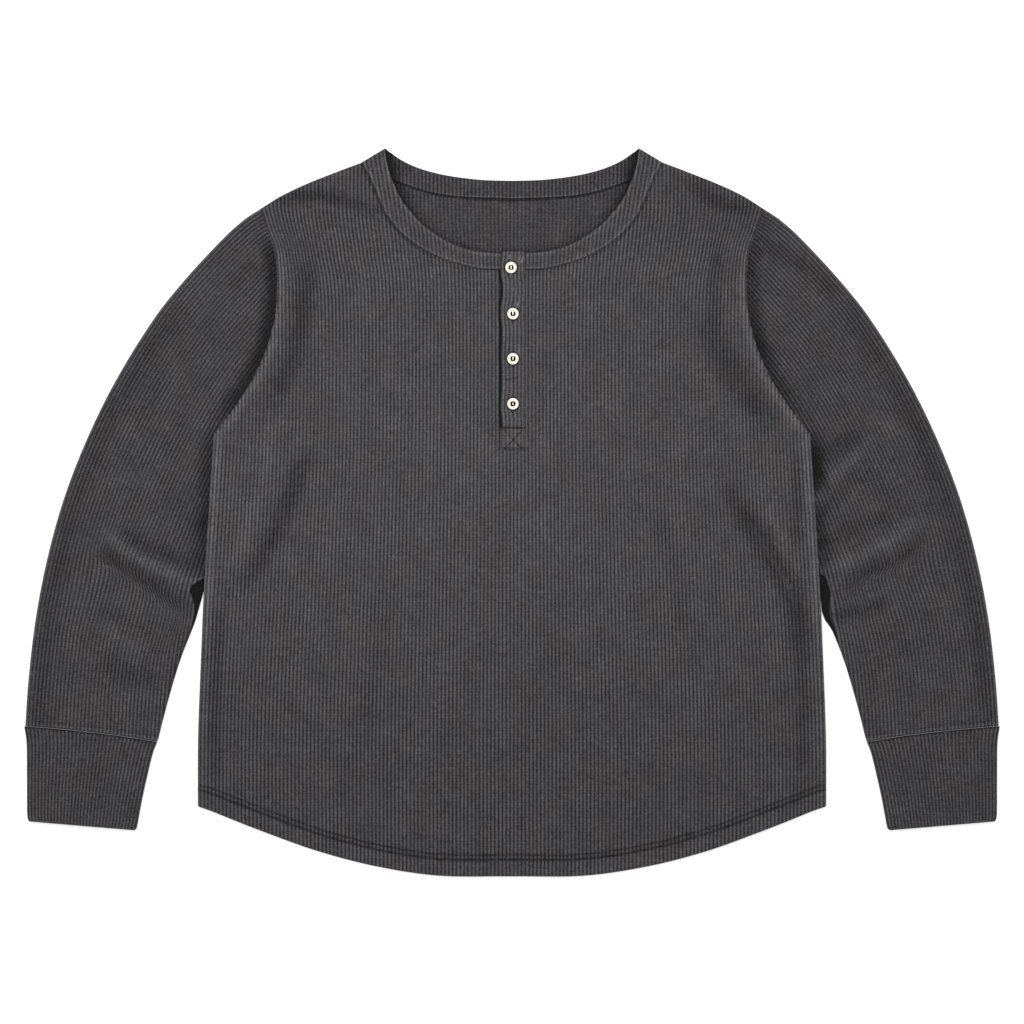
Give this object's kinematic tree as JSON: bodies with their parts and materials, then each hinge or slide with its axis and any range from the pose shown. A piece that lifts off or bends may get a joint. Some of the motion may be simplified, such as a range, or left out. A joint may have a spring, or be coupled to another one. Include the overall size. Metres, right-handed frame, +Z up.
{
  "type": "henley shirt",
  "caption": "Long-sleeved rib-knit henley shirt with a round banded neck, buttoned placket, cuffed sleeves and curved hem, laid out flat with its front up.",
  "frame": {"origin": "on the surface under the middle of the laid-out shirt", "axes": "+X to the wearer's left across the sleeves, +Y from the hem to the collar, +Z up out of the surface"},
  "size_m": [0.9172, 0.6842, 0.008],
  "materials": {
    "body_knit": "matte washed rib knit, charcoal grey",
    "sleeve_knit": "matte washed rib knit, charcoal grey",
    "trim_knit": "matte folded rib knit, charcoal grey",
    "button_resin": "cream cast resin, soft gloss"
  },
  "bodies": {
    "root": {"back": "body_knit", "front": "body_knit", "sleeve_left": "sleeve_knit", "sleeve_right": "sleeve_knit", "cuff_left": "trim_knit", "cuff_right": "trim_knit", "neckband": "trim_knit", "placket_top": "body_knit", "placket_under": "body_knit", "button_1": "button_resin", "button_2": "button_resin", "button_3": "button_resin", "button_4": "button_resin"}
  },
  "joints": []
}
